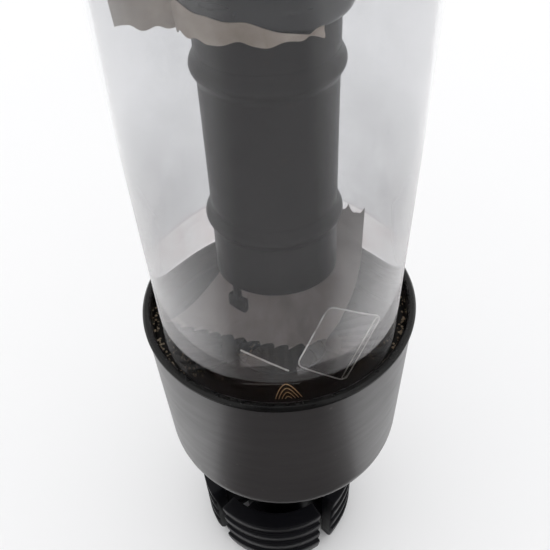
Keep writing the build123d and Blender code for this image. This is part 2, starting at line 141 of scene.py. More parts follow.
def finish_mesh(mesh, bevel=0.0, sharp=40.0):
    """Outward normals, rounded sharp edges, smooth faces and creases where faces meet steeply."""
    bm = bmesh.new()
    bm.from_mesh(mesh)
    bmesh.ops.remove_doubles(bm, verts=bm.verts, dist=1e-7)
    bmesh.ops.recalc_face_normals(bm, faces=bm.faces)
    limit = math.radians(sharp)
    if bevel:
        steep = [e for e in bm.edges if len(e.link_faces) == 2 and e.calc_face_angle(0.0) > limit]
        bmesh.ops.bevel(bm, geom=steep, offset=bevel, segments=2, profile=0.5, affect="EDGES",
                        clamp_overlap=True)
    for face in bm.faces:
        face.smooth = True
    for edge in bm.edges:
        edge.smooth = len(edge.link_faces) == 2 and edge.calc_face_angle(0.0) < limit
    bm.to_mesh(mesh)
    bm.free()


def rounded_copy(node, material, bevel=0.2):
    """Stands in for a CAD node with the node's own shape, its sharp edges rounded."""
    source = NODES[node]
    mesh = source.data.copy()
    mesh.materials.clear()
    mesh.materials.append(material)
    bm = bmesh.new()
    bm.from_mesh(mesh)
    bmesh.ops.remove_doubles(bm, verts=bm.verts, dist=1e-6)
    bmesh.ops.dissolve_limit(bm, angle_limit=math.radians(0.3), verts=bm.verts, edges=bm.edges)
    bm.to_mesh(mesh)
    bm.free()
    mesh.polygons.foreach_set("material_index", [0] * len(mesh.polygons))
    finish_mesh(mesh, bevel * MM)
    piece = bpy.data.objects.new(node + "_rounded", mesh)
    bpy.context.scene.collection.objects.link(piece)
    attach(piece, source["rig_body"])
    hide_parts(node)
    return piece


def eased(points, radius, steps=3):
    """The closed (radius, height) outline with each corner rounded by up to the radius given."""
    out = []
    count = len(points)
    for i, (px, pz) in enumerate(points):
        corner = Vector((px, pz))
        before = Vector(points[i - 1]) - corner
        after = Vector(points[(i + 1) % count]) - corner
        reach = min(radius, before.length * 0.45, after.length * 0.45)
        if reach < 1e-7 or abs(before.angle(after) - math.pi) < 0.05:
            out.append((px, pz))
            continue
        start = corner + before.normalized() * reach
        end = corner + after.normalized() * reach
        for step in range(steps + 1):
            t = step / steps
            out.append(tuple(start.lerp(corner, t).lerp(corner.lerp(end, t), t)))
    return out


def pipe_outline(r_out, r_in, low, high, ease):
    """Section of a straight pipe with eased rims."""
    return eased([(r_in, low), (r_out, low), (r_out, high), (r_in, high)], ease)


def turned(outline, segments=SEGMENTS, first=0.0, sweep=360.0, centre=(0.0, 0.0)):
    """Vertices and faces of an outline turned about an upright axis; a part turn gets end faces."""
    full = sweep >= 360.0
    rows = segments if full else segments + 1
    verts = []
    faces = []
    count = len(outline)
    for row in range(rows):
        angle = math.radians(first + sweep * row / segments)
        for r, z in outline:
            verts.append((centre[0] + r * math.cos(angle), centre[1] + r * math.sin(angle), z))
    for row in range(segments):
        a = row * count
        b = ((row + 1) % rows) * count
        for i in range(count):
            j = (i + 1) % count
            faces.append((a + i, b + i, b + j, a + j))
    if not full:
        faces.append(tuple(range(count)))
        faces.append(tuple(reversed(range((rows - 1) * count, rows * count))))
    return verts, faces


def joined(*shapes):
    """Several (verts, faces) shapes as one."""
    verts = []
    faces = []
    for part_verts, part_faces in shapes:
        base = len(verts)
        verts += list(part_verts)
        faces += [tuple(base + i for i in face) for face in part_faces]
    return verts, faces


def film(point_at, across, along, thickness):
    """A thin film through point_at(u, v), u and v from 0 to 1, closed all round its edge."""
    rows = [[point_at(i / across, j / along) for j in range(along + 1)] for i in range(across + 1)]
    top = []
    low = []
    for i in range(across + 1):
        for j in range(along + 1):
            du = rows[min(i + 1, across)][j] - rows[max(i - 1, 0)][j]
            dv = rows[i][min(j + 1, along)] - rows[i][max(j - 1, 0)]
            normal = du.cross(dv).normalized() * thickness / 2
            top.append(rows[i][j] + normal)
            low.append(rows[i][j] - normal)
    wide = along + 1
    size = len(top)
    faces = []
    for i in range(across):
        for j in range(along):
            a = i * wide + j
            faces.append((a, a + 1, a + wide + 1, a + wide))
            faces.append((size + a, size + a + wide, size + a + wide + 1, size + a + 1))
    rim = [i * wide for i in range(across)] + [across * wide + j for j in range(along)]
    rim += [i * wide + along for i in range(across, 0, -1)] + list(range(along, 0, -1))
    for k, a in enumerate(rim):
        b = rim[(k + 1) % len(rim)]
        faces.append((a, b, size + b, size + a))
    return top + low, faces


def wire(path, radius, closed=False, sides=8):
    """A round wire along a list of points."""
    count = len(path)
    verts = []
    faces = []
    for i, point in enumerate(path):
        ahead = path[(i + 1) % count] if closed or i + 1 < count else point
        behind = path[i - 1] if closed or i > 0 else point
        run = (ahead - behind).normalized()
        side = run.cross(Vector((0.31, 0.17, 0.93))).normalized()
        up = side.cross(run)
        for k in range(sides):
            angle = 2 * math.pi * k / sides
            verts.append(point + radius * (math.cos(angle) * side + math.sin(angle) * up))
    for i in range(count if closed else count - 1):
        a = i * sides
        b = ((i + 1) % count) * sides
        for k in range(sides):
            n = (k + 1) % sides
            faces.append((a + k, a + n, b + n, b + k))
    if not closed:
        faces.append(tuple(reversed(range(sides))))
        faces.append(tuple(range((count - 1) * sides, count * sides)))
    return verts, faces


# ---- material helpers ------------------------------------------------------------------------
def new_material(name, **values):
    """A Principled material with constant values on its sockets; returns it with its shader and tree."""
    material = bpy.data.materials.new(name)
    material.use_nodes = True
    tree = material.node_tree
    shader = tree.nodes["Principled BSDF"]
    for key, value in values.items():
        shader.inputs[key.replace("_", " ")].default_value = value
    return material, shader, tree


def add(tree, kind, **settings):
    """A new node with the settings given: sockets by name, anything else as an attribute."""
    node = tree.nodes.new(kind)
    for key, value in settings.items():
        socket = key.replace("_", " ")
        if socket in node.inputs:
            node.inputs[socket].default_value = value
        else:
            setattr(node, key, value)
    return node


def place(tree, scale=(1.0, 1.0, 1.0)):
    """Object coordinates, stretched."""
    coords = add(tree, "ShaderNodeTexCoord")
    mapping = add(tree, "ShaderNodeMapping")
    mapping.inputs["Scale"].default_value = scale
    tree.links.new(coords.outputs["Object"], mapping.inputs["Vector"])
    return mapping.outputs["Vector"]


def coordinate(tree, axis):
    """One of the object coordinates, as a number."""
    coords = add(tree, "ShaderNodeTexCoord")
    parts = add(tree, "ShaderNodeSeparateXYZ")
    tree.links.new(coords.outputs["Object"], parts.inputs["Vector"])
    return parts.outputs[axis]


def height(tree):
    """The height above the standing face, as a number."""
    return coordinate(tree, "Z")


def noise_at(tree, vector, scale, detail=4.0, roughness=0.55):
    """A noise texture's factor."""
    node = add(tree, "ShaderNodeTexNoise", Scale=scale, Detail=detail, Roughness=roughness)
    tree.links.new(vector, node.inputs["Vector"])
    return node.outputs["Fac"]


def grey(value):
    """A grey colour."""
    return (value, value, value)


def ramp(tree, factor, stops):
    """A colour ramp through (position, colour) stops."""
    node = add(tree, "ShaderNodeValToRGB")
    elements = node.color_ramp.elements
    while len(elements) < len(stops):
        elements.new(0.5)
    for element, (position, colour) in zip(elements, stops):
        element.position = position
        element.color = (*colour, 1.0)
    tree.links.new(factor, node.inputs["Fac"])
    return node.outputs["Color"]


def spread(tree, factor, low, high, start=0.0, end=1.0):
    """A factor between start and end mapped to a range of numbers."""
    node = add(tree, "ShaderNodeMapRange")
    node.inputs["From Min"].default_value = start
    node.inputs["From Max"].default_value = end
    node.inputs["To Min"].default_value = low
    node.inputs["To Max"].default_value = high
    tree.links.new(factor, node.inputs["Value"])
    return node.outputs["Result"]


def mixed(tree, factor, first, second):
    """Two colours mixed by a factor. Inputs 6 and 7 and output 2 are the node's colour sockets."""
    node = add(tree, "ShaderNodeMix", data_type="RGBA")
    tree.links.new(factor, node.inputs["Factor"])
    tree.links.new(first, node.inputs[6])
    tree.links.new(second, node.inputs[7])
    return node.outputs[2]


def bump(tree, shader, height_value, strength, distance):
    """A bump map on the shader's normal."""
    node = add(tree, "ShaderNodeBump", Strength=strength, Distance=distance)
    tree.links.new(height_value, node.inputs["Height"])
    tree.links.new(node.outputs["Normal"], shader.inputs["Normal"])


def specks(tree, scale, size):
    """A factor that is 1 on small scattered spots and 0 elsewhere."""
    node = add(tree, "ShaderNodeTexVoronoi", Scale=scale, feature="F1")
    tree.links.new(place(tree), node.inputs["Vector"])
    return spread(tree, node.outputs["Distance"], 1.0, 0.0, size * 0.5, size)


# ---- materials -------------------------------------------------------------------------------
def moulded_plastic(name, dark, light, rough, specular=0.5, coat=0.0, grain=2200.0, depth=0.00002,
                    dust=None):
    """Moulded plastic: fine grain, uneven sheen, rubbed streaks and a few specks of dust."""
    material, shader, tree = new_material(name, Coat_Weight=coat, Coat_Roughness=0.12,
                                          Specular_IOR_Level=specular)
    vector = place(tree)
    colour = ramp(tree, noise_at(tree, vector, 45.0, 5.0), [(0.3, dark), (0.7, light)])
    if dust:
        pale = ramp(tree, noise_at(tree, vector, 600.0, 2.0), [(0.45, dark), (0.7, dust)])
        colour = mixed(tree, specks(tree, 330.0, 0.13), colour, pale)
    tree.links.new(colour, shader.inputs["Base Color"])
    streaks = noise_at(tree, place(tree, (0.15, 0.15, 1.0)), 500.0, 4.0, 0.6)
    tree.links.new(spread(tree, streaks, rough[0], rough[1], 0.2, 0.8), shader.inputs["Roughness"])
    bump(tree, shader, noise_at(tree, vector, grain, 3.0), 0.35, depth)
    return material


def lip_plastic():
    """The collar's lip and groove: near black, scuffed round its edge, with crumbs of dried brown film."""
    material, shader, tree = new_material("collar_lip_plastic", Coat_Weight=0.04, Coat_Roughness=0.2,
                                          Specular_IOR_Level=0.2)
    vector = place(tree)
    plain = ramp(tree, noise_at(tree, vector, 260.0, 4.0), [(0.3, (0.002, 0.002, 0.0022)),
                                                             (0.75, (0.006, 0.0056, 0.0052))])
    crumbs = ramp(tree, noise_at(tree, vector, 1500.0, 3.0), [(0.4, (0.02, 0.012, 0.008)),
                                                               (0.6, (0.16, 0.10, 0.055)),
                                                               (0.72, (0.42, 0.36, 0.27))])
    deep = spread(tree, height(tree), 1.0, 0.0, LIP_Z - 3.0 * MM, LIP_Z - 0.8 * MM)
    patch = spread(tree, noise_at(tree, vector, 520.0, 5.0, 0.7), 0.0, 1.0, 0.56, 0.64)
    both = add(tree, "ShaderNodeMath", operation="MULTIPLY")
    tree.links.new(deep, both.inputs[0])
    tree.links.new(patch, both.inputs[1])
    tree.links.new(mixed(tree, both.outputs[0], plain, crumbs), shader.inputs["Base Color"])
    scuffs = noise_at(tree, place(tree, (1.0, 1.0, 6.0)), 240.0, 5.0, 0.7)
    tree.links.new(spread(tree, scuffs, 0.16, 0.42, 0.3, 0.7), shader.inputs["Roughness"])
    bump(tree, shader, noise_at(tree, vector, 900.0, 4.0), 0.4, 0.00006)
    return material


def clear_plastic(name, tint, ior=1.49, rough=(0.0, 0.03), haze=0.0, low_tint=None):
    """Clear plastic with faint draw lines, smears, a haze towards its edges and a tint below the liner."""
    material, shader, tree = new_material(name, Transmission_Weight=1.0, IOR=ior, Sheen_Weight=haze,
                                          Sheen_Roughness=0.22)
    vector = place(tree)
    tint_low = tuple(c * 0.985 for c in tint)
    colour = ramp(tree, noise_at(tree, vector, 90.0, 4.0), [(0.35, tint_low), (0.65, tint)])
    if low_tint:
        stained = ramp(tree, noise_at(tree, vector, 140.0, 4.0), [(0.35, low_tint), (0.65, tint_low)])
        below = spread(tree, height(tree), 1.0, 0.0, LINER_LOW.z - 0.3 * MM, LINER_LOW.z + 0.3 * MM)
        colour = mixed(tree, below, colour, stained)
    tree.links.new(colour, shader.inputs["Base Color"])
    smear = noise_at(tree, place(tree, (1.0, 1.0, 0.1)), 160.0, 4.0)
    tree.links.new(spread(tree, smear, rough[0], rough[1], 0.35, 0.75), shader.inputs["Roughness"])
    bump(tree, shader, noise_at(tree, place(tree, (1.0, 1.0, 0.05)), 60.0, 2.0), 0.2, 0.00001)
    return material


def clip_edge():
    """The cut edge of the clear sheet: a painted highlight, near white and uneven along the cut and folded
    edges.
    """
    material, shader, tree = new_material("clear_clip_painted_glint", Transmission_Weight=0.25, IOR=1.53,
                                          Specular_IOR_Level=0.8)
    # painted highlight: a near-white glint along the sheet's edge
    glint_noise = noise_at(tree, place(tree), 420.0, 4.0, 0.65)
    tree.links.new(ramp(tree, glint_noise, [(0.3, (0.45, 0.42, 0.38)), (0.6, (1.0, 0.99, 0.97))]),
                   shader.inputs["Base Color"])
    tree.links.new(spread(tree, glint_noise, 0.05, 0.25, 0.3, 0.7), shader.inputs["Roughness"])
    return material


def frosted_film():
    """Frosted sheet: mostly lets light through, greyed by a fine speckle and a broad cloud."""
    material, shader, tree = new_material("frosted_film", Roughness=0.55, Specular_IOR_Level=0.15)
    fine = noise_at(tree, place(tree), 1600.0, 3.0, 0.75)
    cloud = noise_at(tree, place(tree), 60.0, 3.0)
    colour = ramp(tree, fine, [(0.35, (0.03, 0.03, 0.034)), (0.65, (0.07, 0.068, 0.072))])
    tree.links.new(colour, shader.inputs["Base Color"])
    total = add(tree, "ShaderNodeMath", operation="ADD")
    tree.links.new(spread(tree, fine, 0.035, 0.065, 0.3, 0.75), total.inputs[0])
    tree.links.new(spread(tree, cloud, 0.02, 0.06, 0.3, 0.7), total.inputs[1])
    tree.links.new(total.outputs[0], shader.inputs["Alpha"])
    bump(tree, shader, fine, 0.3, 0.00003)
    return material


def painted_side_sheen():
    """Painted sheen: a milky veil on the tube, stronger towards its left and right sides."""
    material, shader, tree = new_material("painted_side_sheen", Roughness=0.7, Specular_IOR_Level=0.1)
    cloud = noise_at(tree, place(tree, (1.0, 1.0, 0.5)), 120.0, 5.0, 0.6)
    tree.links.new(ramp(tree, cloud, [(0.3, (0.80, 0.79, 0.80)), (0.7, (0.90, 0.885, 0.89))]),
                   shader.inputs["Base Color"])
    sideways = add(tree, "ShaderNodeMath", operation="ABSOLUTE")
    tree.links.new(coordinate(tree, "X"), sideways.inputs[0])
    # painted sheen: the veil's opacity grows towards the tube's left and right edges
    share = spread(tree, sideways.outputs[0], 0.0, 1.0, 0.0, TUBE_R)
    side_sheen_alpha = ramp(tree, share, [(0.30, grey(0.0)), (0.46, grey(0.04)), (0.60, grey(0.09)),
                               (0.84, grey(0.19)), (0.95, grey(0.32)), (1.0, grey(0.50))])
    fade = spread(tree, height(tree), 1.0, 0.0, SHEEN_FULL, SHEEN_TOP)
    strength = add(tree, "ShaderNodeMath", operation="MULTIPLY")
    tree.links.new(side_sheen_alpha, strength.inputs[0])
    tree.links.new(fade, strength.inputs[1])
    tree.links.new(strength.outputs[0], shader.inputs["Alpha"])
    return material


def brown_tape(name, dark, light, alpha):
    """Thin brown tape: wrinkled, stained along its length, a little see-through."""
    material, shader, tree = new_material(name, Specular_IOR_Level=0.35)
    vector = place(tree)
    stain = noise_at(tree, place(tree, (1.0, 0.35, 1.0)), 170.0, 5.0, 0.6)
    tree.links.new(ramp(tree, stain, [(0.3, dark), (0.7, light)]), shader.inputs["Base Color"])
    tree.links.new(spread(tree, noise_at(tree, vector, 300.0), 0.35, 0.6, 0.3, 0.7),
                   shader.inputs["Roughness"])
    tree.links.new(spread(tree, noise_at(tree, vector, 110.0), alpha[0], alpha[1], 0.3, 0.7),
                   shader.inputs["Alpha"])
    bump(tree, shader, noise_at(tree, vector, 420.0, 4.0), 0.5, 0.00015)
    return material


def limewood():
    """Waterlogged limewood: stained dark, with fine pores and faint growth lines."""
    material, shader, tree = new_material("limewood", Roughness=0.8, Specular_IOR_Level=0.2)
    lines = add(tree, "ShaderNodeTexWave", Scale=160.0, Distortion=2.5, Detail=3.0)
    tree.links.new(place(tree, (1.0, 0.3, 0.06)), lines.inputs["Vector"])
    colour = ramp(tree, lines.outputs["Fac"], [(0.2, (0.055, 0.043, 0.038)), (0.8, (0.070, 0.056, 0.049))])
    tree.links.new(colour, shader.inputs["Base Color"])
    bump(tree, shader, noise_at(tree, place(tree, (1.0, 1.0, 0.1)), 2400.0, 4.0), 0.6, 0.00008)
    return material


DARK = moulded_plastic("dark_collar_plastic", (0.025, 0.0225, 0.023), (0.033, 0.030, 0.0305), (0.30, 0.40),
                       specular=0.62, coat=0.10, dust=(0.10, 0.095, 0.09))
LIP = lip_plastic()
GLOSS = moulded_plastic("gloss_black_plastic", (0.004, 0.004, 0.005), (0.008, 0.008, 0.0095), (0.16, 0.3),
                        specular=0.5, dust=(0.05, 0.05, 0.055))
SPIGOT = moulded_plastic("spigot_plastic", (0.0035, 0.0035, 0.0045), (0.006, 0.006, 0.008), (0.3, 0.44),
                         specular=0.14, dust=(0.03, 0.03, 0.035))
RISER = moulded_plastic("riser_plastic", (0.0060, 0.0042, 0.0040), (0.012, 0.0090, 0.0085), (0.30, 0.42),
                        specular=0.13, depth=0.000003, dust=(0.09, 0.07, 0.055))
KNOB = moulded_plastic("knob_plastic", (0.018, 0.050, 0.105), (0.026, 0.068, 0.135), (0.32, 0.48))
RUBBER = moulded_plastic("black_rubber", (0.006, 0.0055, 0.005), (0.012, 0.010, 0.009), (0.55, 0.8),
                         specular=0.3, dust=(0.16, 0.11, 0.07))
# painted shade: a dark layer that hides the strainer's lit slots
STRAINER_SHADE = moulded_plastic("strainer_painted_shade", (0.022, 0.017, 0.016), (0.036, 0.028, 0.026), (0.75, 0.9),
                       specular=0.1)
CRUMB = moulded_plastic("dried_residue", (0.14, 0.085, 0.045), (0.62, 0.52, 0.38), (0.5, 0.8), specular=0.3,
                        grain=5000.0)
FIBRE = moulded_plastic("brown_fibre", (0.22, 0.12, 0.05), (0.50, 0.31, 0.15), (0.25, 0.45), grain=5000.0)
ACRYLIC = clear_plastic("clear_acrylic", (0.985, 0.988, 1.0), haze=0.3, low_tint=(0.87, 0.81, 0.80))
CLEAR_TUBE = clear_plastic("clear_air_tube", (0.95, 0.965, 0.97), rough=(0.02, 0.12))
CLIP = clear_plastic("clear_clip_sheet", (1.0, 0.985, 0.96), ior=1.53)
EDGE = clip_edge()
FROSTED = frosted_film()
SIDE_SHEEN = painted_side_sheen()
TAPE = brown_tape("brown_tape", (0.26, 0.215, 0.20), (0.44, 0.38, 0.36), (0.90, 0.98))
TORN_TAPE = brown_tape("torn_tape", (0.38, 0.31, 0.25), (0.62, 0.54, 0.47), (0.80, 0.97))
WOOD = limewood()
BY_SLOT = {"dark_plastic": DARK, "gloss_black_plastic": GLOSS, "riser_plastic": RISER,
           "knob_plastic": KNOB, "black_rubber": RUBBER, "clear_acrylic": ACRYLIC,
           "clear_tube": CLEAR_TUBE, "clear_sheet": CLIP, "frosted_film": FROSTED,
           "brown_film": TAPE, "limewood": WOOD}


# ---- stage and camera ------------------------------------------------------------------------
PITCH = math.radians(45.02)
YAW = math.radians(-0.33)
ROLL = math.radians(-2.85)
CAMERA_PLACE = Vector((0.0, -90.8 * MM, LIP_Z + 96.2 * MM))
CARD_Y = -0.60
FORWARD = Vector((math.sin(YAW) * math.cos(PITCH), math.cos(YAW) * math.cos(PITCH), -math.sin(PITCH)))


def stage_sheet(name, corners, dark, light):
    """A flat stage piece through its corners, with a soft, slightly uneven finish."""
    mesh = bpy.data.meshes.new(name)
    mesh.from_pydata(corners, [], [tuple(range(len(corners)))])
    sheet = bpy.data.objects.new(name, mesh)
    bpy.context.scene.collection.objects.link(sheet)
    material, shader, tree = new_material(name + "_finish", Roughness=0.7, Specular_IOR_Level=0.15)
    soft = noise_at(tree, place(tree), 3.0, 2.0)
    tree.links.new(ramp(tree, soft, [(0.3, dark), (0.7, light)]), shader.inputs["Base Color"])
    mesh.materials.append(material)
    return sheet


def make_floor_shade_sheet(card_z):
    """A sheet of painted shade on the floor in front, seen only in reflections: dark along its middle and
    as pale as the floor at its sides.
    """
    rows = 14
    columns = 12
    near_y = -0.024
    near_half = 0.085
    far_half = 0.425
    verts = []
    shades = []
    for i in range(rows + 1):
        reach = (i / rows) ** 2
        y = near_y + (CARD_Y - near_y) * reach
        half = near_half + (far_half - near_half) * reach
        for j in range(columns + 1):
            side = -1 + 2 * j / columns
            verts.append((side * half + 0.002, y, card_z))
            shades.append(min(1.0, max(0.0, abs(side) * 2.7 - 1.35)))
    faces = []
    for i in range(rows):
        for j in range(columns):
            a = i * (columns + 1) + j
            faces.append((a, a + 1, a + columns + 2, a + columns + 1))
    mesh = bpy.data.meshes.new("painted_floor_shade")
    mesh.from_pydata(verts, [], faces)
    mesh.attributes.new("shade", "FLOAT", "POINT").data.foreach_set("value", shades)
    card = bpy.data.objects.new("painted_floor_shade", mesh)
    bpy.context.scene.collection.objects.link(card)
    material, shader, tree = new_material("painted_floor_shade_finish", Roughness=0.7, Specular_IOR_Level=0.1)
    shade = add(tree, "ShaderNodeAttribute", attribute_name="shade")
    # painted shade: the floor in front shows dark along the middle in reflections and pale at the sides
    colour = ramp(tree, shade.outputs["Fac"], [(0.0, (0.060, 0.058, 0.058)), (1.0, grey(0.85))])
    tree.links.new(colour, shader.inputs["Base Color"])
    mesh.materials.append(material)
    return card


def make_stage():
    """A large pale floor, even soft light, and dark cards in front that only reflections see: a tall card
    and a sheet of painted floor shade.
    """
    floor_z = CAD_BOX[0][2]
    stage_sheet("floor", [(-3, -3, floor_z), (3, -3, floor_z), (3, 3, floor_z), (-3, 3, floor_z)],
                (0.87, 0.87, 0.88), (0.89, 0.89, 0.895))
    card_z = floor_z + 0.5 * MM
    card_top = 0.8
    card_half = 0.30
    corners = [(-card_half, CARD_Y, card_z), (-card_half, CARD_Y, card_top),
               (card_half, CARD_Y, card_top), (card_half, CARD_Y, card_z)]
    tall_card = stage_sheet("tall_card", corners, grey(0.03), grey(0.04))
    for card in (make_floor_shade_sheet(card_z), tall_card):
        card.visible_camera = False
        card.visible_transmission = False
        card.visible_diffuse = False
        card.visible_shadow = False
    world = bpy.data.worlds.new("studio")
    bpy.context.scene.world = world
    world.use_nodes = True
    world.node_tree.nodes["Background"].inputs["Color"].default_value = (1.0, 1.0, 1.0, 1.0)
    world.node_tree.nodes["Background"].inputs["Strength"].default_value = 1.15
    scene = bpy.context.scene
    scene.view_settings.view_transform = "Standard"
    scene.cycles.max_bounces = 32
    scene.cycles.transmission_bounces = 32
    scene.cycles.transparent_max_bounces = 32
    scene.cycles.glossy_bounces = 8


def make_camera():
    """The camera stands close in front of the collar and looks down on it at about 45 degrees."""
    right = Vector((math.cos(YAW), -math.sin(YAW), 0.0))
    up = right.cross(FORWARD)
    side = math.cos(ROLL) * right + math.sin(ROLL) * up
    top = math.cos(ROLL) * up - math.sin(ROLL) * right
    data = bpy.data.cameras.new("camera")
    data.sensor_width = 36.0
    data.lens = 40.99
    data.clip_start = 0.005
    camera = bpy.data.objects.new("camera", data)
    bpy.context.scene.collection.objects.link(camera)
    camera.matrix_world = Matrix((
        (side.x, top.x, -FORWARD.x, CAMERA_PLACE.x),
        (side.y, top.y, -FORWARD.y, CAMERA_PLACE.y),
        (side.z, top.z, -FORWARD.z, CAMERA_PLACE.z),
        (0.0, 0.0, 0.0, 1.0)))
    bpy.context.scene.camera = camera


# ---- base ------------------------------------------------------------------------------------
def make_collar():
    """The dark cup with its bevelled lip."""
    foot = COLLAR_LOW.z
    groove_z = LIP_Z - 9 * MM
    seat_z = foot + 24 * MM
    cavity_r = 23.6 * MM
    floor_z = foot + 3 * MM
    hole_r = 12.5 * MM
    foot_r = 27.8 * MM
    corner = 9 * MM
    outline = [(hole_r, foot)]
    for step in range(13):
        angle = math.radians(-90 + 90 * step / 12)
        outline.append((foot_r - corner + corner * math.cos(angle) + 0.15 * MM,
                        foot + corner + corner * math.sin(angle)))
    rest = [(LIP_R - 0.35 * MM, LIP_Z - 1.6 * MM), (LIP_R, LIP_Z - 1.15 * MM), (LIP_R, LIP_Z - 0.5 * MM),
            (LIP_R - 0.5 * MM, LIP_Z), (GROOVE_R + 0.45 * MM, LIP_Z), (GROOVE_R, LIP_Z - 0.5 * MM),
            (GROOVE_R, groove_z), (SEAT_R, groove_z), (SEAT_R, seat_z), (cavity_r, seat_z),
            (cavity_r, floor_z), (hole_r, floor_z)]
    outline += eased(rest, 0.14 * MM)
    shape = turned(outline)
    lip_edge = LIP_Z - 1.5 * MM
    indices = []
    for face in shape[1]:
        corners = [Vector(shape[0][i]) for i in face]
        middle = sum(corners, Vector()) / len(corners)
        inner = math.hypot(middle.x, middle.y) < GROOVE_R + 0.2 * MM and middle.z > foot + 1 * MM
        indices.append(1 if middle.z > lip_edge or inner else 0)
    piece_from("collar_shell", shape, [DARK, LIP], "base", "base_collar", indices=indices)


def make_gasket():
    """The rubber ring in the groove, its top sloping to both sides."""
    top = GASKET_HIGH.z
    ridge_r = 26.0 * MM
    outline = eased([(SEAT_R, GASKET_LOW.z), (GROOVE_R, GASKET_LOW.z), (GROOVE_R, top - 0.5 * MM),
                     (ridge_r, top), (SEAT_R, top - 0.3 * MM)], 0.3 * MM)
    piece_from("gasket_ring", turned(outline), [RUBBER], "base", "tube_gasket")


def make_crumbs():
    """Crumbs of dried residue on the gasket and the lip's inside, thicker at the left and right."""
    random.seed(11)
    shapes = []
    for _ in range(CRUMBS):
        spot = random.choice(CRUMB_SPOTS)
        angle = math.radians(random.gauss(spot, 8.0))
        size = random.uniform(0.10, 0.36) * MM
        climb = random.random() ** 2
        radius = (random.uniform(25.4, 26.4) * (1 - climb) + 26.75 * climb) * MM
        base_z = GASKET_HIGH.z - 0.3 * MM + 3.2 * MM * climb
        centre = Vector((radius * math.cos(angle), radius * math.sin(angle), base_z))
        corners = []
        for k in range(6):
            turn = 2 * math.pi * k / 6
            reach = size * random.uniform(0.6, 1.2)
            corners.append(centre + Vector((reach * math.cos(turn), reach * math.sin(turn), 0)))
        peak = centre + Vector((0, 0, size * random.uniform(0.5, 1.0)))
        under = centre - Vector((0, 0, size * 0.4))
        faces = [(k, (k + 1) % 6, 6) for k in range(6)] + [((k + 1) % 6, k, 7) for k in range(6)]
        shapes.append((corners + [peak, under], faces))
    piece_from("groove_crumbs", joined(*shapes), [CRUMB], "base")


def make_fibres():
    """Fine brown fibres that cling in nested arcs to the tube's outside at the front."""
    shapes = []
    clear_r = TUBE_R + 0.12 * MM
    foot_z = LIP_Z - 2.0 * MM
    for index in range(4):
        half = (0.6 + 0.62 * index) * MM
        rise = (0.7 + 1.3 * index) * MM
        path = []
        for step in range(17):
            t = -1 + 2 * step / 16
            x = (0.9 - 0.10 * index) * MM + half * (t + 0.18 * t * t)
            z = foot_z + rise * (1 - abs(t) ** 1.7)
            path.append(Vector((x, -math.sqrt(clear_r ** 2 - x * x), z)))
        shapes.append(wire(path, 0.06 * MM, sides=6))
    piece_from("tube_fibres", joined(*shapes), [FIBRE], "column")


def make_spigot():
    """Four sprung, barbed legs on a web round the neck, with the clamping flange above."""
    root_r = SPIGOT_R - 0.8 * MM
    inner_r = SPIGOT_R - 4.2 * MM
    neck_r = 12.5 * MM
    leg_top = 23.2 * MM
    pitch = 5.5 * MM
    lead_in = 1.2 * MM
    land = 1.2 * MM
    flange_top = COLLAR_LOW.z - 1 * MM
    slot_turn = 45.0 + LEGS_TURN
    half_slot = 6.6
    outline = [(inner_r, 0.0), (root_r - 0.8 * MM, 0.0), (root_r, lead_in)]
    for tooth in range(4):
        crest = lead_in + (tooth + 1) * pitch
        outline += [(SPIGOT_R, crest - land), (SPIGOT_R, crest)]
        if tooth < 3:
            outline.append((root_r, crest))
    outline.append((inner_r, leg_top))
    outline = eased(outline, 0.22 * MM)
    web = eased([(10.5 * MM, 7.0 * MM), (inner_r + 0.3 * MM, 7.0 * MM), (inner_r + 0.3 * MM, 10.5 * MM),
                 (10.5 * MM, 10.5 * MM)], 0.2 * MM)
    shapes = []
    centre = (LEGS_X, 0.0)
    for leg in range(4):
        first = slot_turn + 90 * leg + half_slot
        shapes.append(turned(outline, 40, first, 90 - 2 * half_slot, centre))
        shapes.append(turned(web, 40, first, 90 - 2 * half_slot, centre))
    bore_r = 10.0 * MM
    flange_r = 15.5 * MM
    flange_low = flange_top - 2.5 * MM
    neck = eased([(bore_r, 0.0), (neck_r, 0.0), (neck_r, flange_low), (flange_r, flange_low),
                  (flange_r, flange_top), (neck_r, flange_top), (neck_r, SPIGOT_HIGH.z),
                  (bore_r, SPIGOT_HIGH.z)], 0.2 * MM)
    shapes.append(turned(neck))
    piece_from("spigot_legs", joined(*shapes), [SPIGOT], "base", "split_spigot",
               bevel=0.12 * MM, sharp=50.0)


# ---- column ----------------------------------------------------------------------------------
def make_tube():
    """The clear tube with flame-polished rims."""
    outline = pipe_outline(TUBE_R, TUBE_R - TUBE_WALL, TUBE_LOW.z, TUBE_HIGH.z, 0.5 * MM)
    piece_from("tube_wall", turned(outline, 256), [ACRYLIC], "column", "body_tube")


def make_liner():
    """The frosted sheet inside the tube, with the gap of its seam at the back right."""
    half_gap = 0.25
    outline = pipe_outline(TUBE_R - TUBE_WALL - 0.02 * MM, TUBE_R - TUBE_WALL - 0.3 * MM, LINER_LOW.z,
                           LINER_HIGH.z, 0.08 * MM)
    shape = turned(outline, 240, 45 + half_gap, 360 - 2 * half_gap)
    piece_from("liner_sheet", shape, [FROSTED], "column", "liner_sleeve")


def make_side_sheen():
    """The painted sheen on the outside of the tube, thinning out above the lip."""
    inner_r = TUBE_R + 0.02 * MM
    outer_r = TUBE_R + 0.05 * MM
    outline = [(inner_r, SHEEN_FOOT), (outer_r, SHEEN_FOOT), (outer_r, SHEEN_TOP), (inner_r, SHEEN_TOP)]
    piece_from("tube_side_sheen", turned(outline, 240), [SIDE_SHEEN], "column")


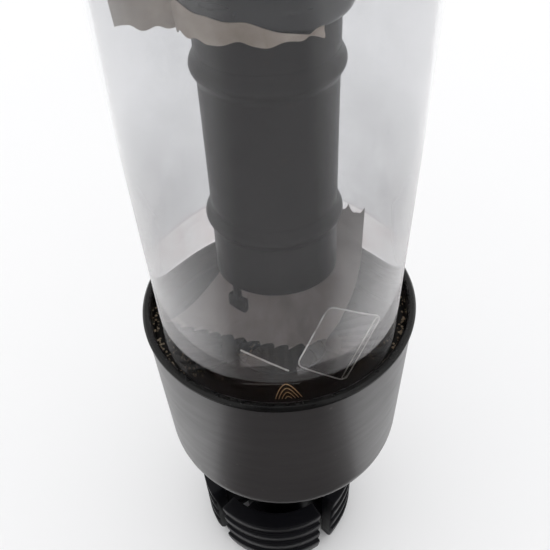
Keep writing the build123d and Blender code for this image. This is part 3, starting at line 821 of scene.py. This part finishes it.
def make_strainer_shade():
    """A dark layer of painted shade on the front of the strainer disc, over its slots."""
    low_z = STRAINER_HIGH.z + 0.02 * MM
    high_z = low_z + 0.15 * MM
    outer_r = TUBE_R - TUBE_WALL - 0.4 * MM
    inner_r = 9.6 * MM
    start = -152.0
    sweep = 132.0
    outline = [(inner_r, low_z), (outer_r, low_z), (outer_r, high_z), (inner_r, high_z)]
    piece_from("strainer_shade_layer", turned(outline, 96, start, sweep), [STRAINER_SHADE], "column")


def make_riser():
    """Both lengths of the riser, the tabs under the foot, and the gloss sleeve that joins them."""
    inner_r = RISER_R - RISER_WALL
    foot_z = RISER_LOW.z + 6.0 * MM
    pad_top = RISER_LOW.z + 3.2 * MM
    lower = turned(pipe_outline(RISER_R, inner_r, foot_z, RISER_HIGH.z, 0.3 * MM))
    stem = pipe_outline(RISER_R - 0.2 * MM, inner_r + 0.2 * MM, RISER_LOW.z + 1 * MM,
                        foot_z + 0.5 * MM, 0.2 * MM)
    pad = pipe_outline(RISER_R, inner_r, RISER_LOW.z, pad_top, 0.6 * MM)
    tabs = []
    for turn in (-135.0, 45.0):
        tabs.append(turned(stem, 6, turn - 3.0, 6.0))
        tabs.append(turned(pad, 12, turn - 10.0, 20.0))
    piece_from("riser_lower", joined(lower, *tabs), [RISER], "column", "lower_riser_pipe")
    upper = turned(pipe_outline(RISER_R, inner_r, UPPER_RISER_LOW.z, UPPER_RISER_HIGH.z, 0.3 * MM))
    piece_from("riser_upper", upper, [RISER], "column", "upper_riser_pipe")
    low = COUPLING_LOW.z
    high = COUPLING_HIGH.z
    sleeve_r = RISER_R + 1.2 * MM
    bead_r = RISER_R + 1.8 * MM
    touch_r = RISER_R + 0.03 * MM
    outline = [(touch_r, low), (sleeve_r, low), (bead_r, low + 0.7 * MM), (bead_r, low + 2.6 * MM),
               (sleeve_r, low + 3.4 * MM), (sleeve_r, high - 3.4 * MM), (bead_r, high - 2.6 * MM),
               (bead_r, high - 0.7 * MM), (sleeve_r, high), (touch_r, high)]
    piece_from("coupling_sleeve", turned(eased(outline, 0.5 * MM)), [GLOSS], "column", "riser_coupling")


def make_clips():
    """The soft-edged bands round the riser, each with an eye at the back for the air tube."""
    inner_r = RISER_R + 0.02 * MM
    half = 2.3 * MM
    swell = 0.9 * MM
    reach = 1.7 * MM
    shapes = []
    for middle in BAND_HEIGHTS:
        outline = [(inner_r, middle - half), (inner_r, middle + half)]
        for step in range(13):
            t = 1 - 2 * step / 12
            crown = swell * (0.5 + 0.5 * math.cos(math.pi * t))
            outline.append((inner_r + 0.05 * MM + crown, middle + half * t))
        shapes.append(turned(outline))
        eye = pipe_outline(3.6 * MM, 2.52 * MM, middle - reach, middle + reach, 0.3 * MM)
        shapes.append(turned(eye, 40, centre=(0.0, AIR_TUBE_Y)))
    piece_from("riser_bands", joined(*shapes), [RISER], "column", "air_tube_clips")


def make_air_tube():
    """The rigid clear tube behind the riser."""
    outline = pipe_outline(2.5 * MM, 1.5 * MM, AIR_TUBE_LOW.z, AIR_TUBE_HIGH.z, 0.2 * MM)
    piece_from("air_tube_wall", turned(outline, 48, centre=(0.0, AIR_TUBE_Y)), [CLEAR_TUBE], "column",
               "air_tube")


def teeth(position, pitch, depth):
    """Depth of a scalloped cut edge at a position along it, uneven like a torn tape end."""
    wave = abs(math.sin(math.pi * position / pitch))
    return depth * (wave ** 0.7) + 0.35 * depth * noise.noise(Vector((position * 0.9, 3.1, 0.0)))


def make_lower_tape():
    """The strip across the tube under the riser: it sags, curls at the wall and climbs at the back."""
    slant = math.radians(63)
    run = Vector((math.cos(slant), math.sin(slant), 0))
    side = Vector((-math.sin(slant), math.cos(slant), 0))
    wall_r = 23.2
    profile = [(-14.0, -2.5), (-9.0, -4.0), (-4.0, -5.0), (8.0, -5.0), (14.0, -3.5), (18.5, 2.0),
               (20.8, 14.5)]
    length = [0.0]
    for (t0, z0), (t1, z1) in zip(profile, profile[1:]):
        length.append(length[-1] + math.hypot(t1 - t0, z1 - z0))

    def on_profile(distance):
        """The point of the strip's section at a distance along it."""
        distance = min(max(distance, 0.0), length[-1])
        k = 0
        while k < len(profile) - 2 and distance > length[k + 1]:
            k += 1
        share = (distance - length[k]) / (length[k + 1] - length[k])
        (t0, z0), (t1, z1) = profile[k], profile[k + 1]
        return Vector((t0 + share * (t1 - t0), z0 + share * (z1 - z0)))

    def smooth_profile(distance):
        """The section with its bends eased."""
        around_it = [on_profile(distance + step) for step in (-2.4, -1.2, 0.0, 1.2, 2.4)]
        eased_point = sum(around_it, Vector((0.0, 0.0))) / len(around_it)
        blend = min(1.0, distance / 2.4, (length[-1] - distance) / 2.4)
        return on_profile(distance).lerp(eased_point, max(0.0, blend))

    def point_at(u, v):
        """A point of the strip: u across it, v along it."""
        across = -10.0 + 29.6 * u
        from_middle = across + 2.9
        start = 2.4 + 0.24 * (19.4 - across) + (0.0075 if from_middle > 0 else 0.085) * from_middle ** 2
        end = length[-1] - min(1.2 * max(0.0, across + 5.0), 12.0)
        cut = teeth(across + 2.0, 2.7, 1.6) * (1 - v) ** 9 - teeth(across, 3.3, 1.9) * v ** 9
        t, z = smooth_profile(start + (end - start) * v + cut)
        flat = run * t + side * across
        wrinkle = 0.35 * noise.noise(Vector((t * 0.22, across * 0.22, 1.7)))
        z += wrinkle
        reach = math.hypot(flat.x, flat.y)
        if reach > wall_r:
            z += (reach - wall_r) * 0.9
            flat *= wall_r / reach
        return Vector((flat.x * MM, flat.y * MM, LIP_Z + z * MM))

    shape = film(point_at, 200, 60, TAPE_THICKNESS)
    piece_from("tape_strip", shape, [TAPE], "column", "lower_tape", sharp=60.0)


def make_upper_tape():
    """The strip round the front of the coupling, torn along its lower edge, with a free end at the left."""
    low = LIP_Z / MM + 58.0
    high = LIP_Z / MM + 64.8

    def wrap_at(u, v):
        """A point of the wrap: u round the front from left to right, v upward."""
        angle = math.radians(178 + 127 * u)
        torn = low + 1.0 + 2.4 * u + 1.0 * noise.noise(Vector((u * 9.0, 0.0, 0.5)))
        top = high - 1.2 - 3.6 * u ** 4 + 0.5 * noise.noise(Vector((u * 7.0, 5.0, 0.5)))
        z = torn + (top - torn) * v
        r = RISER_R / MM + 1.95 + 0.25 * noise.noise(Vector((u * 6.0, v * 2.0, 4.0)))
        return Vector((r * math.cos(angle) * MM, r * math.sin(angle) * MM, z * MM))

    def flag_at(u, v):
        """A point of the free end: u outward to the left, v upward."""
        x = -(RISER_R / MM + 1.4) - 9.3 * u
        torn = low - 0.2 + 0.9 * noise.noise(Vector((u * 5.0, 2.0, 0.5))) + 1.0 * u
        z = torn + (4.9 + 0.4 * noise.noise(Vector((u * 4.0, 8.0, 0.5)))) * v
        y = 0.4 - 2.6 * u + 0.8 * math.sin(2.2 * u + 1.5 * v) * u
        return Vector((x * MM, y * MM, z * MM))

    shape = joined(film(wrap_at, 110, 12, TAPE_THICKNESS), film(flag_at, 40, 12, TAPE_THICKNESS))
    piece_from("tape_torn", shape, [TORN_TAPE], "column", "upper_tape", sharp=60.0)


def rounded_loop(corners, radius, steps=5):
    """A closed loop through corners, each one rounded by the radius given."""
    loop = []
    count = len(corners)
    for i, corner in enumerate(corners):
        before = (corners[i - 1] - corner).normalized() * radius
        after = (corners[(i + 1) % count] - corner).normalized() * radius
        start = corner + before
        end = corner + after
        for step in range(steps + 1):
            t = step / steps
            loop.append(start.lerp(corner, t).lerp(corner.lerp(end, t), t))
    return loop


def leaf(loop, corners, thickness):
    """A clear flat leaf inside a loop."""
    normal = (corners[1] - corners[0]).cross(corners[2] - corners[0]).normalized() * thickness / 2
    count = len(loop)
    verts = [p + normal for p in loop] + [p - normal for p in loop]
    faces = [tuple(range(count)), tuple(reversed(range(count, 2 * count)))]
    faces += [(i, i + count, (i + 1) % count + count, (i + 1) % count) for i in range(count)]
    return verts, faces


def make_clip():
    """The folded clear sheet that leans on the front wall: a square leaf, a fold and a wing."""
    def at(x, y, z):
        """A point in millimetres, its height counted from the lip."""
        return Vector(((x - 1.0) * MM, y * MM, LIP_Z + (z + 1.7) * MM))

    square = [at(3.6, -19.9, 1.4), at(12.6, -18.3, -6.4), at(19.3, -11.0, 4.35), at(9.6, -13.7, 11.0)]
    inner = [at(11.9, -18.1, -5.6), at(12.9, -17.9, -6.2), at(19.0, -10.9, 3.9), at(18.2, -11.3, 4.5)]
    wing = [at(-6.0, -19.6, 6.0), at(4.9, -20.9, -1.2), at(4.4, -21.3, -2.8), at(-6.8, -20.6, -3.0)]
    fold = [at(3.5, -19.9, 1.2), at(3.9, -20.9, -1.6), at(12.2, -18.5, -6.3)]
    leaves = []
    rims = []
    # for each leaf: its corners, their rounding, its thickness and the radius of its rim of painted
    # highlight, in mm
    for corners, radius, thickness, rim in ((square, 1.6, 0.3, 0.165), (inner, 0.3, 0.2, 0.11),
                                            (wing, 0.8, 0.06, 0.0), (fold, 0.4, 0.06, 0.0)):
        loop = rounded_loop(corners, radius * MM)
        leaves.append(leaf(loop, corners, thickness * MM))
        if rim:
            rims.append(wire(loop, rim * MM, closed=True))
    # a painted highlight along the wing's top edge
    rims.append(wire([wing[0].lerp(wing[1], step / 8) for step in range(7)], 0.2 * MM))
    piece_from("clip_sheet", joined(*leaves), [CLIP], "column", "clear_clip")
    piece_from("clip_rim_glints", joined(*rims), [EDGE], "column")


# ---- cup and lid -----------------------------------------------------------------------------
def make_neck():
    """The clear neck with polished rims."""
    outline = pipe_outline(NECK_HIGH.x, NECK_HIGH.x - NECK_WALL, NECK_LOW.z, NECK_HIGH.z, 0.4 * MM)
    piece_from("neck_wall", turned(outline, 160), [ACRYLIC], "cup", "foam_neck")


def make_lid_knob():
    """The turned knob on the lid."""
    low = LID_KNOB_LOW.z
    profile = [(0.01, 0.0), (6.5, 0.0), (5.2, 1.8), (5.0, 3.0), (5.6, 4.6), (8.2, 6.2), (9.0, 7.4),
               (8.9, 8.6), (8.2, 10.0), (6.0, 10.8), (4.6, 10.8), (4.2, 10.5), (0.01, 10.5)]
    outline = eased([(r * MM, low + z * MM) for r, z in profile], 0.8 * MM, 5)
    piece_from("lid_grip", turned(outline, 96), [GLOSS], "lid", "lid_knob")


# the CAD nodes that a function above stands in for
OWN_MESH = {"base_collar", "tube_gasket", "split_spigot", "body_tube", "liner_sleeve",
            "lower_riser_pipe", "upper_riser_pipe", "riser_coupling", "air_tube_clips", "air_tube",
            "lower_tape", "upper_tape", "clear_clip", "foam_neck", "lid_knob"}


def make_rounded_pieces():
    """Every other CAD node, with rounded edges and its slot's material."""
    for node in sorted(set(NODES) - OWN_MESH):
        rounded_copy(node, BY_SLOT[SLOT_OF[node]])


make_stage()
make_camera()
for node_name, node_object in NODES.items():
    node_object.data.materials.clear()
    node_object.data.materials.append(BY_SLOT[SLOT_OF[node_name]])
make_collar()
make_gasket()
make_crumbs()
make_fibres()
make_spigot()
make_tube()
make_liner()
make_side_sheen()
make_strainer_shade()
make_riser()
make_clips()
make_air_tube()
make_lower_tape()
make_upper_tape()
make_clip()
make_neck()
make_lid_knob()
make_rounded_pieces()
